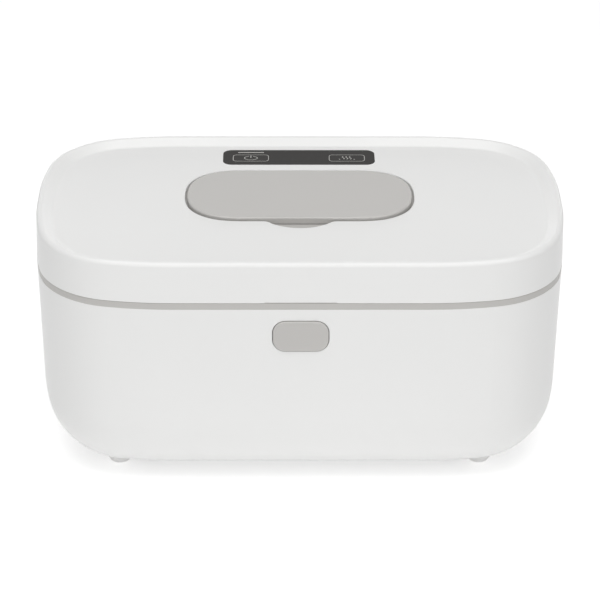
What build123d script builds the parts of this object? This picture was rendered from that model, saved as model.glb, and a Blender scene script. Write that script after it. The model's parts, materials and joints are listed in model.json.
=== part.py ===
from build123d import *
import math
import os

os.makedirs("parts", exist_ok=True)

# A baby wipe warmer: a low drafted tub with a hinged lid, a pull-out flap in the lid
# and a push button that frees the lid. +Z is up, the front faces -Y, sizes are in mm.
# The origin is the centre of the footprint, on the surface that the feet stand on.

# Case outline
case_length = 231
case_depth = 134
corner_radius = 38
ease_radius = 150
ease_angle = 11

# Heights
foot_height = 3.3
body_top = 91.9
ring_height = 3.2
lid_height = 18.4
dish_depth = 3

# Base shell
wall = 2.4
wall_draft = 1.62
bottom_radius = 33
rib_thickness = 2
rib_bottom = 52
rib_inset = 1
rib_depth = 9.4

# Trim ring
ring_recess = 0.2
ring_edge = 0.7
skirt_depth = 4
skirt_wall = 1.8

# Tank
tank_margin = 11.5
tank_wall = 1.8
tank_floor = 18
tank_radius = 27
flange_thickness = 1.5
seat_gap = 0.2

# Heater
plate_end_margin = 45
plate_side_margin = 40
plate_thickness = 1
film_thickness = 0.8
pad_thickness = 3
cutout_radius = 6
wire_radius = 0.36

# Fasteners
screw_radius = 1.4
screw_head = 2.7
small_screw_radius = 1.1
small_screw_head = 2.2
screw_fit = 0.05
screw_clearance = 0.4
head_sink = 3.5
case_screw_length = 10
cover_screw_length = 5.5
board_screw_length = 6
display_screw_length = 5
bracket_screw_length = 4.5
catch_screw_length = 3.6
boss_radius = 3.4
screw_end_margin = 49
screw_side_margin = 34

# Feet
foot_end_margin = 35.5
foot_side_margin = 33.6
foot_wide = 6
foot_narrow = 4.2
foot_stem = 2

# Lid
lid_draft = 1.15
lid_edge = 1.9
field_margin = 7.2
crest_margin = 2.8
crest_edge = 1.4
field_edge = 2
lid_skin = 2.2
cover_height = 2.5
cover_thickness = 1.8
gasket_margin = 9.3
gasket_width = 1.4

# Lid hinge
hinge_inset = 3
hinge_rise = 3.6
knuckle_x = 45
knuckle_width = 8
knuckle_radius = 3
hinge_block = 16
pin_radius = 1.2
pin_fit = 0.05
moving_gap = 0.3

# Flap
flap_length = 99.2
flap_depth = 49.2
flap_setback = 60
flap_corner = 19.9
flap_ease = 39.2
flap_proud = 1.2
flap_thickness = 2
flap_rim = 1.6
flap_edge = 0.8
flap_gap = 1
hinge_gap = 1.8
opening_edge = 0.5
scoop_radius = 17.2
scoop_reach = 6.9
scoop_blend = 5
ledge_width = 2.5
pocket_depth = 4.2
pocket_wall = 1.8
well_lip = 3
hinge_bay = 38
flap_hinge_inset = 2.1
flap_hinge_drop = 1.8
flap_lug_x = 16
flap_lug_width = 4
flap_lug_radius = 1.1
flap_pin_radius = 0.5

# Mouth
mouth_length = 76
mouth_depth = 30
slot_length = 54
slot_depth = 13

# Touch panel
panel_length = 68.8
panel_depth = 16.1
panel_setback = 18.85
key_inset = 12.4
panel_corner = 4
panel_thickness = 1.2
board_gap = 3.7
board_thickness = 1.6
display_length = 70
display_depth = 19
display_boss_inset = 4

# Button and latch
button_width = 23.8
button_height = 14.5
button_drop = 12.8
button_corner = 5.5
button_edge = 0.6
button_gap = 0.3
button_proud = 0.7
button_travel = 2
catch_width = 14
catch_setback = 5
catch_thickness = 1.8
catch_clearance = 0.9
catch_screw_spread = 5
latch_thickness = 1.6
latch_length = 21
arm_thickness = 1.8
arm_height = 3.4
bracket_setback = 8.6
bracket_thickness = 1.2
bracket_spread = 17.5
spring_radius = 2.6
spring_wire = 0.5
cap_skin = 2

# Power inlet
jack_z = 19.5
jack_width = 9
jack_length = 10.5
jack_bore = 2.85
jack_pin = 1.05
socket_setback = 10
board_length = 64
board_width = 22
board_boss_spread = 26
socket_width = 16
socket_height = 13

half_length = case_length / 2
half_depth = case_depth / 2
ring_top = body_top + ring_height
lid_top = ring_top + lid_height
field_top = lid_top - dish_depth
flap_top = field_top + flap_proud
flap_bottom = field_top - lid_skin + moving_gap
pocket_floor = field_top - pocket_depth
lid_ceiling = field_top - lid_skin
cover_bottom = ring_top + cover_height
cover_top = cover_bottom + cover_thickness
flange_bottom = body_top - flange_thickness
skirt_bottom = body_top - skirt_depth
board_top = lid_ceiling - board_gap
board_bottom = board_top - board_thickness
floor_inside = foot_height + wall
boss_top = tank_floor - 6.5

hinge_y = half_depth - hinge_inset
hinge_z = ring_top + hinge_rise
flap_y = half_depth - flap_setback
flap_front = flap_y - flap_depth / 2
scoop_tip = flap_front - scoop_reach
flap_hinge_y = flap_y + flap_depth / 2 - flap_hinge_inset
flap_hinge_z = flap_top - flap_hinge_drop
panel_y = half_depth - panel_setback
key_spread = panel_length / 2 - key_inset
display_y = panel_y

button_z = body_top - button_drop
button_top = button_z + button_height / 2
spring_z = button_z - 0.65
bracket_z = spring_z - 4
catch_front = catch_setback - half_depth
catch_back = catch_front + catch_thickness
catch_bottom = button_top + catch_clearance
latch_front = catch_back + moving_gap
bracket_front = bracket_setback - half_depth
cap_back = cap_skin + 0.9 - half_depth

plate_length = case_length - 2 * plate_end_margin
plate_depth = case_depth - 2 * plate_side_margin
plate_bottom = tank_floor - plate_thickness
film_bottom = plate_bottom - film_thickness
pad_bottom = film_bottom - pad_thickness
socket_face = half_depth - socket_setback
socket_back = socket_face - wall
jack_front = socket_face - jack_length
power_board_top = jack_z - jack_width / 2
power_board_bottom = power_board_top - board_thickness
board_y = jack_front + 4 - board_width / 2


# The four points at the given margins in from the ends and sides of the case.
def corner_spots(end_margin, side_margin):
    x = half_length - end_margin
    y = half_depth - side_margin
    return [(-x, -y), (-x, y), (x, -y), (x, y)]


case_screw_spots = corner_spots(screw_end_margin, screw_side_margin)
foot_spots = corner_spots(foot_end_margin, foot_side_margin)
board_spots = [(-board_boss_spread, board_y - 1.5), (board_boss_spread, board_y - 1.5)]
bracket_spots = [(-bracket_spread, bracket_z), (bracket_spread, bracket_z)]
cover_spots = corner_spots(35, 27) + [(35 - half_length, 0), (half_length - 35, 0)]
display_boss_x = display_length / 2 - display_boss_inset
display_boss_y = display_y + display_depth / 2 - display_boss_inset
display_spots = [(-display_boss_x, display_boss_y), (display_boss_x, display_boss_y)]


# Rectangle whose straight sides run through a long arc into each corner arc.
def soft_outline(length, depth, corner, ease, inset=0):
    turn = math.radians(ease_angle)
    reach = ease * (math.sin(turn) + 1 - math.cos(turn))
    reach += corner * (math.cos(turn) - math.sin(turn))
    side = inset - depth / 2
    with BuildSketch(mode=Mode.PRIVATE) as outline:
        with BuildLine():
            front = Line((0, side), (length / 2 - reach, side))
            lead = JernArc(front @ 1, front % 1, ease - inset, ease_angle)
            turned = JernArc(lead @ 1, lead % 1, corner - inset, 90 - 2 * ease_angle)
            tail = JernArc(turned @ 1, turned % 1, ease - inset, ease_angle)
            Line(tail @ 1, (length / 2 - inset, 0))
            mirror(about=Plane.YZ)
            mirror(about=Plane.XZ)
        make_face()
    return outline.sketch


def case_outline(inset):
    return soft_outline(case_length, case_depth, corner_radius, ease_radius, inset)


def flap_outline(inset):
    with BuildSketch(mode=Mode.PRIVATE) as outline:
        with Locations((0, flap_y)):
            add(soft_outline(flap_length, flap_depth, flap_corner, flap_ease, inset))
    return outline.sketch


# Pocket outline: the flap's own, let out evenly and drawn back behind the flap's hinge,
# with a round finger scoop in front.
def pocket_outline(grow):
    with BuildSketch(mode=Mode.PRIVATE) as outline:
        add(flap_outline(-grow))
        with Locations((0, hinge_gap)):
            add(flap_outline(-grow))
        with Locations((0, scoop_tip + scoop_radius)):
            Circle(scoop_radius + grow)
        inner = outline.vertices().filter_by(lambda v: v.Y < flap_y and 10 < abs(v.X) < 18)
        fillet(inner, scoop_blend - grow)
    return outline.sketch


# Deep part of the flap's well: inside its ledge, and out to the rear behind the hinge.
def well_outline(grow):
    with BuildSketch(mode=Mode.PRIVATE) as outline:
        with Locations((0, flap_hinge_y - 6)):
            Rectangle(2 * (hinge_bay + grow), 20, align=(Align.CENTER, Align.MIN))
        add(pocket_outline(flap_gap + grow), mode=Mode.INTERSECT)
        add(flap_outline(ledge_width - grow))
    return outline.sketch


def drafted_tub(inset, floor, radius, rim=body_top):
    with BuildPart(mode=Mode.PRIVATE) as tub:
        with BuildSketch(Plane.XY.offset(rim)):
            add(case_outline(inset))
        extrude(amount=floor - rim, taper=wall_draft)
        fillet(tub.faces().sort_by(Axis.Z)[0].edges(), radius)
    return tub.part


# Edges of a form at one height, on the inner or outer side of a case outline.
def level_edges(form, height, margin, within):
    limit = case_outline(margin).faces()[0]
    edges = []
    for edge in form.edges():
        middle = edge @ 0.5
        level = abs(edge.center().Z - height) < 0.01
        if level and limit.is_inside(Vector(middle.X, middle.Y, 0)) == within:
            edges.append(edge)
    return edges


def case_band(outer, inner, bottom, top):
    with BuildPart(mode=Mode.PRIVATE) as band:
        with BuildSketch(Plane.XY.offset(bottom)):
            add(case_outline(outer))
            add(case_outline(inner), mode=Mode.SUBTRACT)
        extrude(amount=top - bottom)
    return band.part


# Y of the front wall's inner face at a height.
def front_wall_inside(height):
    return wall - half_depth + (body_top - height) * math.tan(math.radians(wall_draft))


# Pan-head screw standing on its head at the given height, pointing up or down.
def screw(head_z, length, up=1, radius=screw_radius, head=screw_head):
    head_height = head * 0.5
    with BuildPart(mode=Mode.PRIVATE) as body:
        with BuildSketch(Plane.XY.offset(head_z)):
            Circle(head)
        extrude(amount=-up * head_height)
        with BuildSketch(Plane.XY.offset(head_z)):
            Circle(radius)
        extrude(amount=up * length)
        with BuildSketch(Plane.XY.offset(head_z - up * head_height)):
            Rectangle(head * 1.1, head * 0.28)
            Rectangle(head * 0.28, head * 1.1)
        extrude(amount=up * head_height * 0.5, mode=Mode.SUBTRACT)
    return body.part


body_form = drafted_tub(0, foot_height, bottom_radius)
rib_out_x = half_length - rib_inset - rib_depth / 2
rib_out_y = half_depth - rib_inset - rib_depth / 2

# Base shell: drafted wall, round bottom, ribs under the tank flange, hinge knuckles.
with BuildPart(mode=Mode.PRIVATE) as shell_features:
    with BuildSketch(Plane.XY.offset(rib_bottom)):
        for x in (-58, -28, 28, 58):
            with Locations((x, -rib_out_y), (x, rib_out_y)):
                Rectangle(rib_thickness, rib_depth)
        for y in (-22, 22):
            with Locations((-rib_out_x, y), (rib_out_x, y)):
                Rectangle(rib_depth, rib_thickness)
    extrude(amount=flange_bottom - rib_bottom)
    with BuildSketch(Plane.XY.offset(floor_inside - 1)):
        with Locations(*case_screw_spots):
            Circle(boss_radius)
    extrude(amount=boss_top - floor_inside + 1)
    with BuildSketch(Plane.XY.offset(floor_inside - 1)):
        with Locations(*board_spots):
            Circle(boss_radius - 0.6)
    extrude(amount=power_board_bottom - floor_inside + 1)
    with BuildSketch(Plane.XZ.offset(-socket_back)):
        with Locations((0, jack_z)):
            Rectangle(socket_width + 2 * wall, socket_height + 2 * wall)
    extrude(amount=-12)
    with BuildSketch(Plane.XZ.offset(-bracket_front)):
        with Locations(*bracket_spots):
            Circle(2.8)
    extrude(amount=8)
    add(drafted_tub(1, foot_height + 1, bottom_radius - 1), mode=Mode.INTERSECT)
    rim_room = wall + skirt_wall + 2 * seat_gap + 0.1
    add(case_band(0, rim_room, skirt_bottom - seat_gap, body_top + 1), mode=Mode.SUBTRACT)

with BuildPart(mode=Mode.PRIVATE) as knuckles:
    for x in (-knuckle_x, knuckle_x):
        with BuildSketch(Plane.YZ.offset(x - knuckle_width / 2)) as profile:
            with BuildLine():
                Polyline(
                    (hinge_y - knuckle_radius, hinge_z),
                    (hinge_y - knuckle_radius, body_top - 10),
                    (hinge_y + knuckle_radius - 1, body_top - 20),
                    (hinge_y + knuckle_radius - 1, body_top),
                    (hinge_y + knuckle_radius, body_top),
                    (hinge_y + knuckle_radius, hinge_z),
                    close=True,
                )
            make_face()
            with Locations((hinge_y, hinge_z)):
                Circle(knuckle_radius)
                Circle(pin_radius + pin_fit, mode=Mode.SUBTRACT)
        extrude(amount=knuckle_width)

with BuildPart() as base_shell:
    add(body_form)
    add(drafted_tub(wall, floor_inside, bottom_radius - wall), mode=Mode.SUBTRACT)
    add(shell_features.part)
    add(knuckles.part)
    # Recessed flat land for the power plug, with the hole for the inlet's nose
    with BuildSketch(Plane.XZ.offset(-socket_face)):
        with Locations((0, jack_z)):
            RectangleRounded(socket_width, socket_height, 3)
    extrude(amount=-12, mode=Mode.SUBTRACT)
    with BuildSketch(Plane.XZ.offset(-jack_front)):
        with Locations((0, jack_z)):
            Circle(4.0)
    extrude(amount=-12, mode=Mode.SUBTRACT)
    with BuildSketch(Plane.XZ.offset(-jack_front)):
        with Locations((0, jack_z)):
            Rectangle(jack_width + 0.4, jack_width + 0.4)
    extrude(amount=-(socket_back - jack_front), mode=Mode.SUBTRACT)
    # Window for the push button
    with BuildSketch(Plane.XZ.offset(half_depth - 5)):
        with Locations((0, button_z)):
            RectangleRounded(
                button_width + 2 * button_gap,
                button_height + 2 * button_gap,
                button_corner + button_gap,
            )
    extrude(amount=10, mode=Mode.SUBTRACT)
    # Screw ways up through the floor, with sunk seats for the heads
    with BuildSketch(Plane.XY.offset(foot_height - 1)):
        with Locations(*case_screw_spots):
            Circle(screw_radius + screw_fit)
    extrude(amount=boss_top, mode=Mode.SUBTRACT)
    with BuildSketch(Plane.XY.offset(foot_height - 1)):
        with Locations(*case_screw_spots):
            Circle(screw_head + screw_clearance)
    extrude(amount=head_sink + 1, mode=Mode.SUBTRACT)
    with BuildSketch(Plane.XY.offset(foot_height - 1)):
        with Locations(*foot_spots):
            Circle(foot_stem + screw_fit)
    extrude(amount=9, mode=Mode.SUBTRACT)
    with BuildSketch(Plane.XY.offset(power_board_bottom)):
        with Locations(*board_spots):
            Circle(small_screw_radius + screw_fit)
    extrude(amount=-6, mode=Mode.SUBTRACT)
    with BuildSketch(Plane.XZ.offset(-bracket_front)):
        with Locations(*bracket_spots):
            Circle(small_screw_radius + screw_fit)
    extrude(amount=4, mode=Mode.SUBTRACT)
base_shell.part.label = "base_shell"
export_step(base_shell.part, "parts/base_shell.step")

# Tank: drafted, round-bottomed tray that hangs by its flange, with four screw bosses.
with BuildPart() as inner_tank:
    add(drafted_tub(tank_margin, tank_floor, tank_radius))
    with BuildSketch(Plane.XY.offset(flange_bottom)):
        add(case_outline(wall + skirt_wall + 2 * seat_gap))
    extrude(amount=flange_thickness)
    with BuildSketch(Plane.XY.offset(boss_top)):
        with Locations(*case_screw_spots):
            Circle(boss_radius)
    extrude(amount=tank_floor + 8 - boss_top)
    add(
        drafted_tub(tank_margin + tank_wall, tank_floor + tank_wall, tank_radius - tank_wall),
        mode=Mode.SUBTRACT,
    )
    with BuildSketch(Plane.XY.offset(boss_top)):
        with Locations(*case_screw_spots):
            Circle(screw_radius + screw_fit)
    extrude(amount=5.5, mode=Mode.SUBTRACT)
    # Notches in the flange for the hinge knuckles and the lid's catch
    with BuildSketch(Plane.XY.offset(flange_bottom)):
        with Locations((-knuckle_x, hinge_y), (knuckle_x, hinge_y)):
            Rectangle(knuckle_width + 2 * seat_gap, 2 * (knuckle_radius + seat_gap))
        with Locations((0, catch_front)):
            Rectangle(catch_width + 4, 6.4)
    extrude(amount=flange_thickness, mode=Mode.SUBTRACT)
inner_tank.part.label = "inner_tank"
export_step(inner_tank.part, "parts/inner_tank.step")

# Trim ring: covers the shell's rim and the tank's flange, with a skirt inside the shell.
with BuildPart() as trim_ring:
    add(case_band(ring_recess, tank_margin + tank_wall, body_top, ring_top))
    fillet(level_edges(trim_ring, ring_top, ring_recess + 1, False), ring_edge)
    add(case_band(wall + seat_gap, wall + seat_gap + skirt_wall, skirt_bottom, body_top))
    with BuildSketch(Plane.XY.offset(skirt_bottom)):
        with Locations((-knuckle_x, hinge_y + 1), (knuckle_x, hinge_y + 1)):
            Rectangle(knuckle_width + 2 * seat_gap, 2 * (knuckle_radius + 1 + seat_gap))
    extrude(amount=skirt_depth + 4, mode=Mode.SUBTRACT)
    with BuildSketch(Plane.XY.offset(skirt_bottom)):
        with Locations((0, catch_front + 0.4)):
            Rectangle(catch_width + 1.2, 3.6)
    extrude(amount=skirt_depth + 4, mode=Mode.SUBTRACT)
trim_ring.part.label = "trim_ring"
export_step(trim_ring.part, "parts/trim_ring.step")

# Heater under the tank: spreader plate, film and pressing pad.
cutout_spot = (plate_length / 2 - 32, 0)
with BuildPart() as heat_plate:
    with BuildSketch(Plane.XY.offset(plate_bottom)):
        RectangleRounded(plate_length, plate_depth, 6)
    extrude(amount=plate_thickness)
heat_plate.part.label = "heat_plate"
export_step(heat_plate.part, "parts/heat_plate.step")

with BuildPart() as heater_film:
    with BuildSketch(Plane.XY.offset(film_bottom)):
        RectangleRounded(plate_length - 6, plate_depth - 6, 4)
    extrude(amount=film_thickness)
heater_film.part.label = "heater_film"
export_step(heater_film.part, "parts/heater_film.step")

with BuildPart() as heater_pad:
    with BuildSketch(Plane.XY.offset(pad_bottom)):
        RectangleRounded(plate_length - 4, plate_depth - 4, 5)
        with Locations(cutout_spot):
            Circle(cutout_radius + 0.6, mode=Mode.SUBTRACT)
        with Locations((-cutout_spot[0], 0)):
            RectangleRounded(14, 6, 1.5, mode=Mode.SUBTRACT)
    extrude(amount=pad_thickness)
heater_pad.part.label = "heater_pad"
export_step(heater_pad.part, "parts/heater_pad.step")

with BuildPart() as thermostat:
    with BuildSketch(Plane.XY.offset(film_bottom)):
        with Locations(cutout_spot):
            Circle(cutout_radius)
    extrude(amount=-2.6)
    with BuildSketch(Plane.XY.offset(film_bottom - 2.6)):
        with Locations(cutout_spot):
            Circle(cutout_radius - 1.6)
    extrude(amount=-2)
    fillet(thermostat.edges().sort_by(Axis.Z)[0], 0.5)
thermostat.part.label = "thermostat"
export_step(thermostat.part, "parts/thermostat.step")

with BuildPart() as thermal_fuse:
    with BuildSketch(Plane.YZ.offset(-cutout_spot[0] - 4.5)):
        with Locations((0, film_bottom - 1.6)):
            Circle(1.6)
    extrude(amount=9)
    fillet(thermal_fuse.edges(), 0.4)
thermal_fuse.part.label = "thermal_fuse"
export_step(thermal_fuse.part, "parts/thermal_fuse.step")

# Power board on two bosses behind the heater, with the inlet on its rear edge.
with BuildPart() as power_board:
    with BuildSketch(Plane.XY.offset(power_board_bottom)):
        with Locations((0, board_y)):
            Rectangle(board_length, board_width)
        with Locations(*board_spots):
            Circle(small_screw_radius + screw_clearance, mode=Mode.SUBTRACT)
    extrude(amount=board_thickness)
    with BuildSketch(Plane.XY.offset(power_board_top)):
        with Locations((14, board_y - 4.5)):
            Rectangle(8, 6)
        with Locations((-15, board_y - 2.5)):
            Rectangle(7, 7)
        with Locations((0, board_y - 7.5)):
            Rectangle(9, 4)
    extrude(amount=2)
    with BuildSketch(Plane.XY.offset(power_board_top)):
        with Locations((-15, board_y + 6), (16, board_y + 6)):
            Circle(2.5)
    extrude(amount=5.5)
power_board.part.label = "power_board"
export_step(power_board.part, "parts/power_board.step")

# Two wires from the heater's rear edge down to the board
lead_z = film_bottom + wire_radius + 0.02
board_front = board_y - board_width / 2
with BuildPart() as heater_leads:
    for x in (-30, -27):
        with BuildLine() as run:
            level = Line((x, plate_depth / 2 - 2.9, lead_z), (x, plate_depth / 2 + 0.5, lead_z))
            Spline(
                level @ 1,
                (x, board_front + 3.5, power_board_top + wire_radius + 0.05),
                tangents=((0, 1, 0), (0, 1, -0.2)),
            )
        with BuildSketch(Plane(origin=run.line @ 0, z_dir=run.line % 0)):
            Circle(wire_radius)
        sweep(path=run.line)
heater_leads.part.label = "heater_leads"
export_step(heater_leads.part, "parts/heater_leads.step")

with BuildPart() as power_inlet:
    with BuildSketch(Plane.XZ.offset(-jack_front)):
        with Locations((0, jack_z)):
            Rectangle(jack_width, jack_width)
    extrude(amount=-(socket_back - jack_front))
    with BuildSketch(Plane.XZ.offset(-jack_front)):
        with Locations((0, jack_z)):
            Circle(3.9)
    extrude(amount=-(socket_face - 0.2 - jack_front))
    with BuildSketch(Plane.XZ.offset(-(jack_front + 1.2))):
        with Locations((0, jack_z)):
            Circle(jack_bore)
    extrude(amount=-12, mode=Mode.SUBTRACT)
    with BuildSketch(Plane.XZ.offset(-(jack_front + 1))):
        with Locations((0, jack_z)):
            Circle(jack_pin)
    extrude(amount=-(socket_face - 1.6 - jack_front - 1))
power_inlet.part.label = "power_inlet"
export_step(power_inlet.part, "parts/power_inlet.step")

# Lid shell: soft-edged cover whose top dips to a flat field inside a raised rim.
with BuildPart(mode=Mode.PRIVATE) as lid_form:
    with BuildSketch(Plane.XY.offset(ring_top)):
        add(case_outline(0))
    extrude(amount=lid_top - ring_top, taper=lid_draft)
    with BuildSketch(Plane.XY.offset(field_top)):
        add(case_outline(field_margin))
    with BuildSketch(Plane.XY.offset(lid_top)):
        add(case_outline(crest_margin))
    loft(ruled=True, mode=Mode.SUBTRACT)
    fillet(level_edges(lid_form, lid_top, crest_margin - 0.5, False), lid_edge)
    fillet(level_edges(lid_form, lid_top, crest_margin - 0.5, True), crest_edge)
    fillet(level_edges(lid_form, field_top, 0, True), field_edge)

catch_screw_z = cover_top + 4
catch_spots = [(-catch_screw_spread, catch_screw_z), (catch_screw_spread, catch_screw_z)]

with BuildPart() as lid_shell:
    add(lid_form.part)
    with BuildSketch(Plane.XY.offset(ring_top)):
        add(case_outline(wall))
    extrude(amount=lid_ceiling - ring_top, taper=lid_draft, mode=Mode.SUBTRACT)
    # Bosses for the inner cover and for the display board
    with BuildSketch(Plane.XY.offset(cover_top)):
        with Locations(*cover_spots):
            Circle(boss_radius)
    extrude(amount=lid_ceiling - cover_top + 1)
    with BuildSketch(Plane.XY.offset(board_top)):
        with Locations(*display_spots):
            Circle(boss_radius - 0.6)
    extrude(amount=lid_ceiling - board_top + 1)
    # Blocks that hold the hinge pins
    for x in (-knuckle_x, knuckle_x):
        with BuildSketch(Plane.YZ.offset(x - hinge_block / 2)):
            with Locations((hinge_y - 1.3, hinge_z + 1)):
                Rectangle(8, 8.2)
        extrude(amount=hinge_block)
    # Pads on the front wall that the latch catch is screwed to
    with BuildSketch(Plane.XZ.offset(-catch_front)):
        with Locations(*catch_spots):
            Circle(2.4)
    extrude(amount=catch_setback - wall + 0.5)
    with BuildSketch(Plane.XZ.offset(-catch_front)):
        with Locations(*catch_spots):
            Circle(small_screw_radius + screw_fit)
    extrude(amount=catch_setback - wall - 0.4, mode=Mode.SUBTRACT)
    # Opening for the flap and seat of the touch panel
    with BuildSketch(Plane.XY.offset(lid_ceiling - 1)):
        add(pocket_outline(flap_gap))
    extrude(amount=8, mode=Mode.SUBTRACT)
    fillet(level_edges(lid_shell, field_top, field_margin + 8, True), opening_edge)
    with BuildSketch(Plane.XY.offset(field_top - panel_thickness)):
        with Locations((0, panel_y)):
            RectangleRounded(panel_length + 0.1, panel_depth + 0.1, panel_corner)
    extrude(amount=panel_thickness, mode=Mode.SUBTRACT)
    with BuildSketch(Plane.XY.offset(lid_ceiling)):
        with Locations((-key_spread, panel_y - 0.8), (0, panel_y), (key_spread, panel_y - 0.8)):
            RectangleRounded(14, 7, 1)
    extrude(amount=lid_skin, mode=Mode.SUBTRACT)
    # Clearance of the hinge: round lower rear edge, knuckle notches, pin bores
    with BuildSketch(Plane.YZ.offset(-case_length / 2)):
        with Locations((hinge_y, hinge_z)):
            Rectangle(6, 6, align=(Align.MIN, Align.MAX))
            Circle(knuckle_radius + moving_gap, mode=Mode.SUBTRACT)
    extrude(amount=case_length, mode=Mode.SUBTRACT)
    for x in (-knuckle_x, knuckle_x):
        with BuildSketch(Plane.YZ.offset(x - knuckle_width / 2 - moving_gap)):
            with Locations((hinge_y - knuckle_radius - 2 * moving_gap, hinge_z + hinge_rise)):
                Rectangle(12, 12, align=(Align.MIN, Align.MAX))
        extrude(amount=knuckle_width + 2 * moving_gap, mode=Mode.SUBTRACT)
        with BuildSketch(Plane.YZ.offset(x - hinge_block / 2)):
            with Locations((hinge_y, hinge_z)):
                Circle(pin_radius + 0.02)
        extrude(amount=hinge_block, mode=Mode.SUBTRACT)
    for spots, low in ((cover_spots, cover_top), (display_spots, board_top)):
        with BuildSketch(Plane.XY.offset(low)):
            with Locations(*spots):
                Circle(small_screw_radius + screw_fit)
        extrude(amount=4, mode=Mode.SUBTRACT)
    # Thin relief line in the middle of the front edge
    with BuildSketch(Plane.XY.offset(ring_top)):
        with Locations((0, 1 - case_depth / 2)):
            Rectangle(30.8, 4)
    extrude(amount=0.25, mode=Mode.SUBTRACT)
lid_shell.part.label = "lid_shell"
export_step(lid_shell.part, "parts/lid_shell.step")

# Flap well: ledge and floor of the pocket, fixed under the lid, with the mouth in it.
with BuildPart() as flap_well:
    with BuildSketch(Plane.XY.offset(lid_ceiling - pocket_wall)):
        add(pocket_outline(flap_gap + well_lip))
    extrude(amount=pocket_wall)
    with BuildSketch(Plane.XY.offset(pocket_floor - pocket_wall)):
        add(well_outline(pocket_wall))
    extrude(amount=lid_ceiling - pocket_floor + pocket_wall)
    with BuildSketch(Plane.XY.offset(pocket_floor)):
        add(well_outline(0))
    extrude(amount=8, mode=Mode.SUBTRACT)
    with BuildSketch(Plane.XY.offset(pocket_floor - pocket_wall)):
        with Locations((0, flap_y)):
            RectangleRounded(mouth_length, mouth_depth, mouth_depth / 2 - 0.1)
    extrude(amount=pocket_wall, mode=Mode.SUBTRACT)
    # Lugs that carry the flap's pins
    for x in (-flap_lug_x, flap_lug_x):
        with BuildSketch(Plane.YZ.offset(x - flap_lug_width / 2)):
            with Locations((flap_hinge_y, flap_hinge_z)):
                Circle(flap_lug_radius)
            with Locations((flap_hinge_y, (flap_hinge_z + pocket_floor - 0.5) / 2)):
                Rectangle(2 * flap_lug_radius, flap_hinge_z - pocket_floor + 0.5)
            with Locations((flap_hinge_y, flap_hinge_z)):
                Circle(flap_pin_radius + pin_fit, mode=Mode.SUBTRACT)
        extrude(amount=flap_lug_width)
flap_well.part.label = "flap_well"
export_step(flap_well.part, "parts/flap_well.step")

# Catch: a flat tongue that hangs from the lid behind its front wall, with a window.
with BuildPart() as lid_catch:
    catch_top = catch_screw_z + 3.5
    with BuildSketch(Plane.XZ.offset(-catch_front)):
        with Locations((0, (catch_bottom + catch_top) / 2)):
            RectangleRounded(catch_width, catch_top - catch_bottom, 1)
        with Locations(*catch_spots):
            Circle(small_screw_radius + screw_clearance, mode=Mode.SUBTRACT)
        with Locations((0, catch_bottom + 3.2)):
            Rectangle(8.6, 3.2, mode=Mode.SUBTRACT)
    extrude(amount=-catch_thickness)
lid_catch.part.label = "lid_catch"
export_step(lid_catch.part, "parts/lid_catch.step")

# Inner cover: closes the lid from below, holds the gasket, and rises round the mouth.
with BuildPart() as inner_cover:
    with BuildSketch(Plane.XY.offset(cover_bottom)):
        add(case_outline(wall + 0.4))
    extrude(amount=cover_thickness)
    add(case_band(gasket_margin - 1.2, gasket_margin + gasket_width + 1.2,
                  cover_bottom - 1.4, cover_bottom))
    add(case_band(gasket_margin, gasket_margin + gasket_width,
                  cover_bottom - 1.4, cover_bottom - 0.7), mode=Mode.SUBTRACT)
    with BuildSketch(Plane.XY.offset(cover_top)):
        with Locations((0, flap_y)):
            RectangleRounded(mouth_length + 10, mouth_depth + 10, 18)
    extrude(amount=pocket_floor - pocket_wall - 0.1 - cover_top)
    with BuildSketch(Plane.XY.offset(cover_bottom)):
        with Locations((0, flap_y)):
            RectangleRounded(mouth_length + 6.8, mouth_depth + 6.8, 16.4)
    extrude(amount=12, mode=Mode.SUBTRACT)
    with BuildSketch(Plane.XY.offset(cover_bottom - 2)):
        with Locations((-knuckle_x, hinge_y), (knuckle_x, hinge_y)):
            Rectangle(hinge_block + 0.8, 11.4)
        with Locations((0, -hinge_y)):
            Rectangle(catch_width + 4, 9)
        with Locations(*cover_spots):
            Circle(screw_radius + screw_fit)
    extrude(amount=12, mode=Mode.SUBTRACT)
inner_cover.part.label = "inner_cover"
export_step(inner_cover.part, "parts/inner_cover.step")

# Silicone gasket that the lid presses towards the trim ring
with BuildPart() as lid_gasket:
    add(case_band(gasket_margin, gasket_margin + gasket_width,
                  ring_top + moving_gap, cover_bottom - 0.7))
lid_gasket.part.label = "lid_gasket"
export_step(lid_gasket.part, "parts/lid_gasket.step")

# Silicone mouth with the slot that the wipes are pulled through
with BuildPart() as mouth_gasket:
    with BuildSketch(Plane.XY.offset(pocket_floor)):
        with Locations((0, flap_y)):
            RectangleRounded(mouth_length + 4, mouth_depth + 4, 16)
    extrude(amount=0.9)
    with BuildSketch(Plane.XY.offset(pocket_floor - pocket_wall - 0.5)):
        with Locations((0, flap_y)):
            RectangleRounded(mouth_length - 0.1, mouth_depth - 0.1, mouth_depth / 2 - 0.2)
    extrude(amount=pocket_wall + 0.5)
    with BuildSketch(Plane.XY.offset(pocket_floor)):
        with Locations((0, flap_y)):
            RectangleRounded(slot_length + 5, slot_depth + 5, slot_depth / 2 + 2.4)
    extrude(amount=flap_top - flap_thickness - moving_gap - pocket_floor)
    with BuildSketch(Plane.XY.offset(pocket_floor - 4)):
        with Locations((0, flap_y)):
            RectangleRounded(slot_length + 16, slot_depth + 11, slot_depth / 2 + 5.4)
    extrude(amount=4 - pocket_wall + 0.6, mode=Mode.SUBTRACT)
    with BuildSketch(Plane.XY.offset(pocket_floor - 4)):
        with Locations((0, flap_y)):
            RectangleRounded(slot_length, slot_depth, slot_depth / 2 - 0.1)
    extrude(amount=10, mode=Mode.SUBTRACT)
mouth_gasket.part.label = "mouth_gasket"
export_step(mouth_gasket.part, "parts/mouth_gasket.step")

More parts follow.
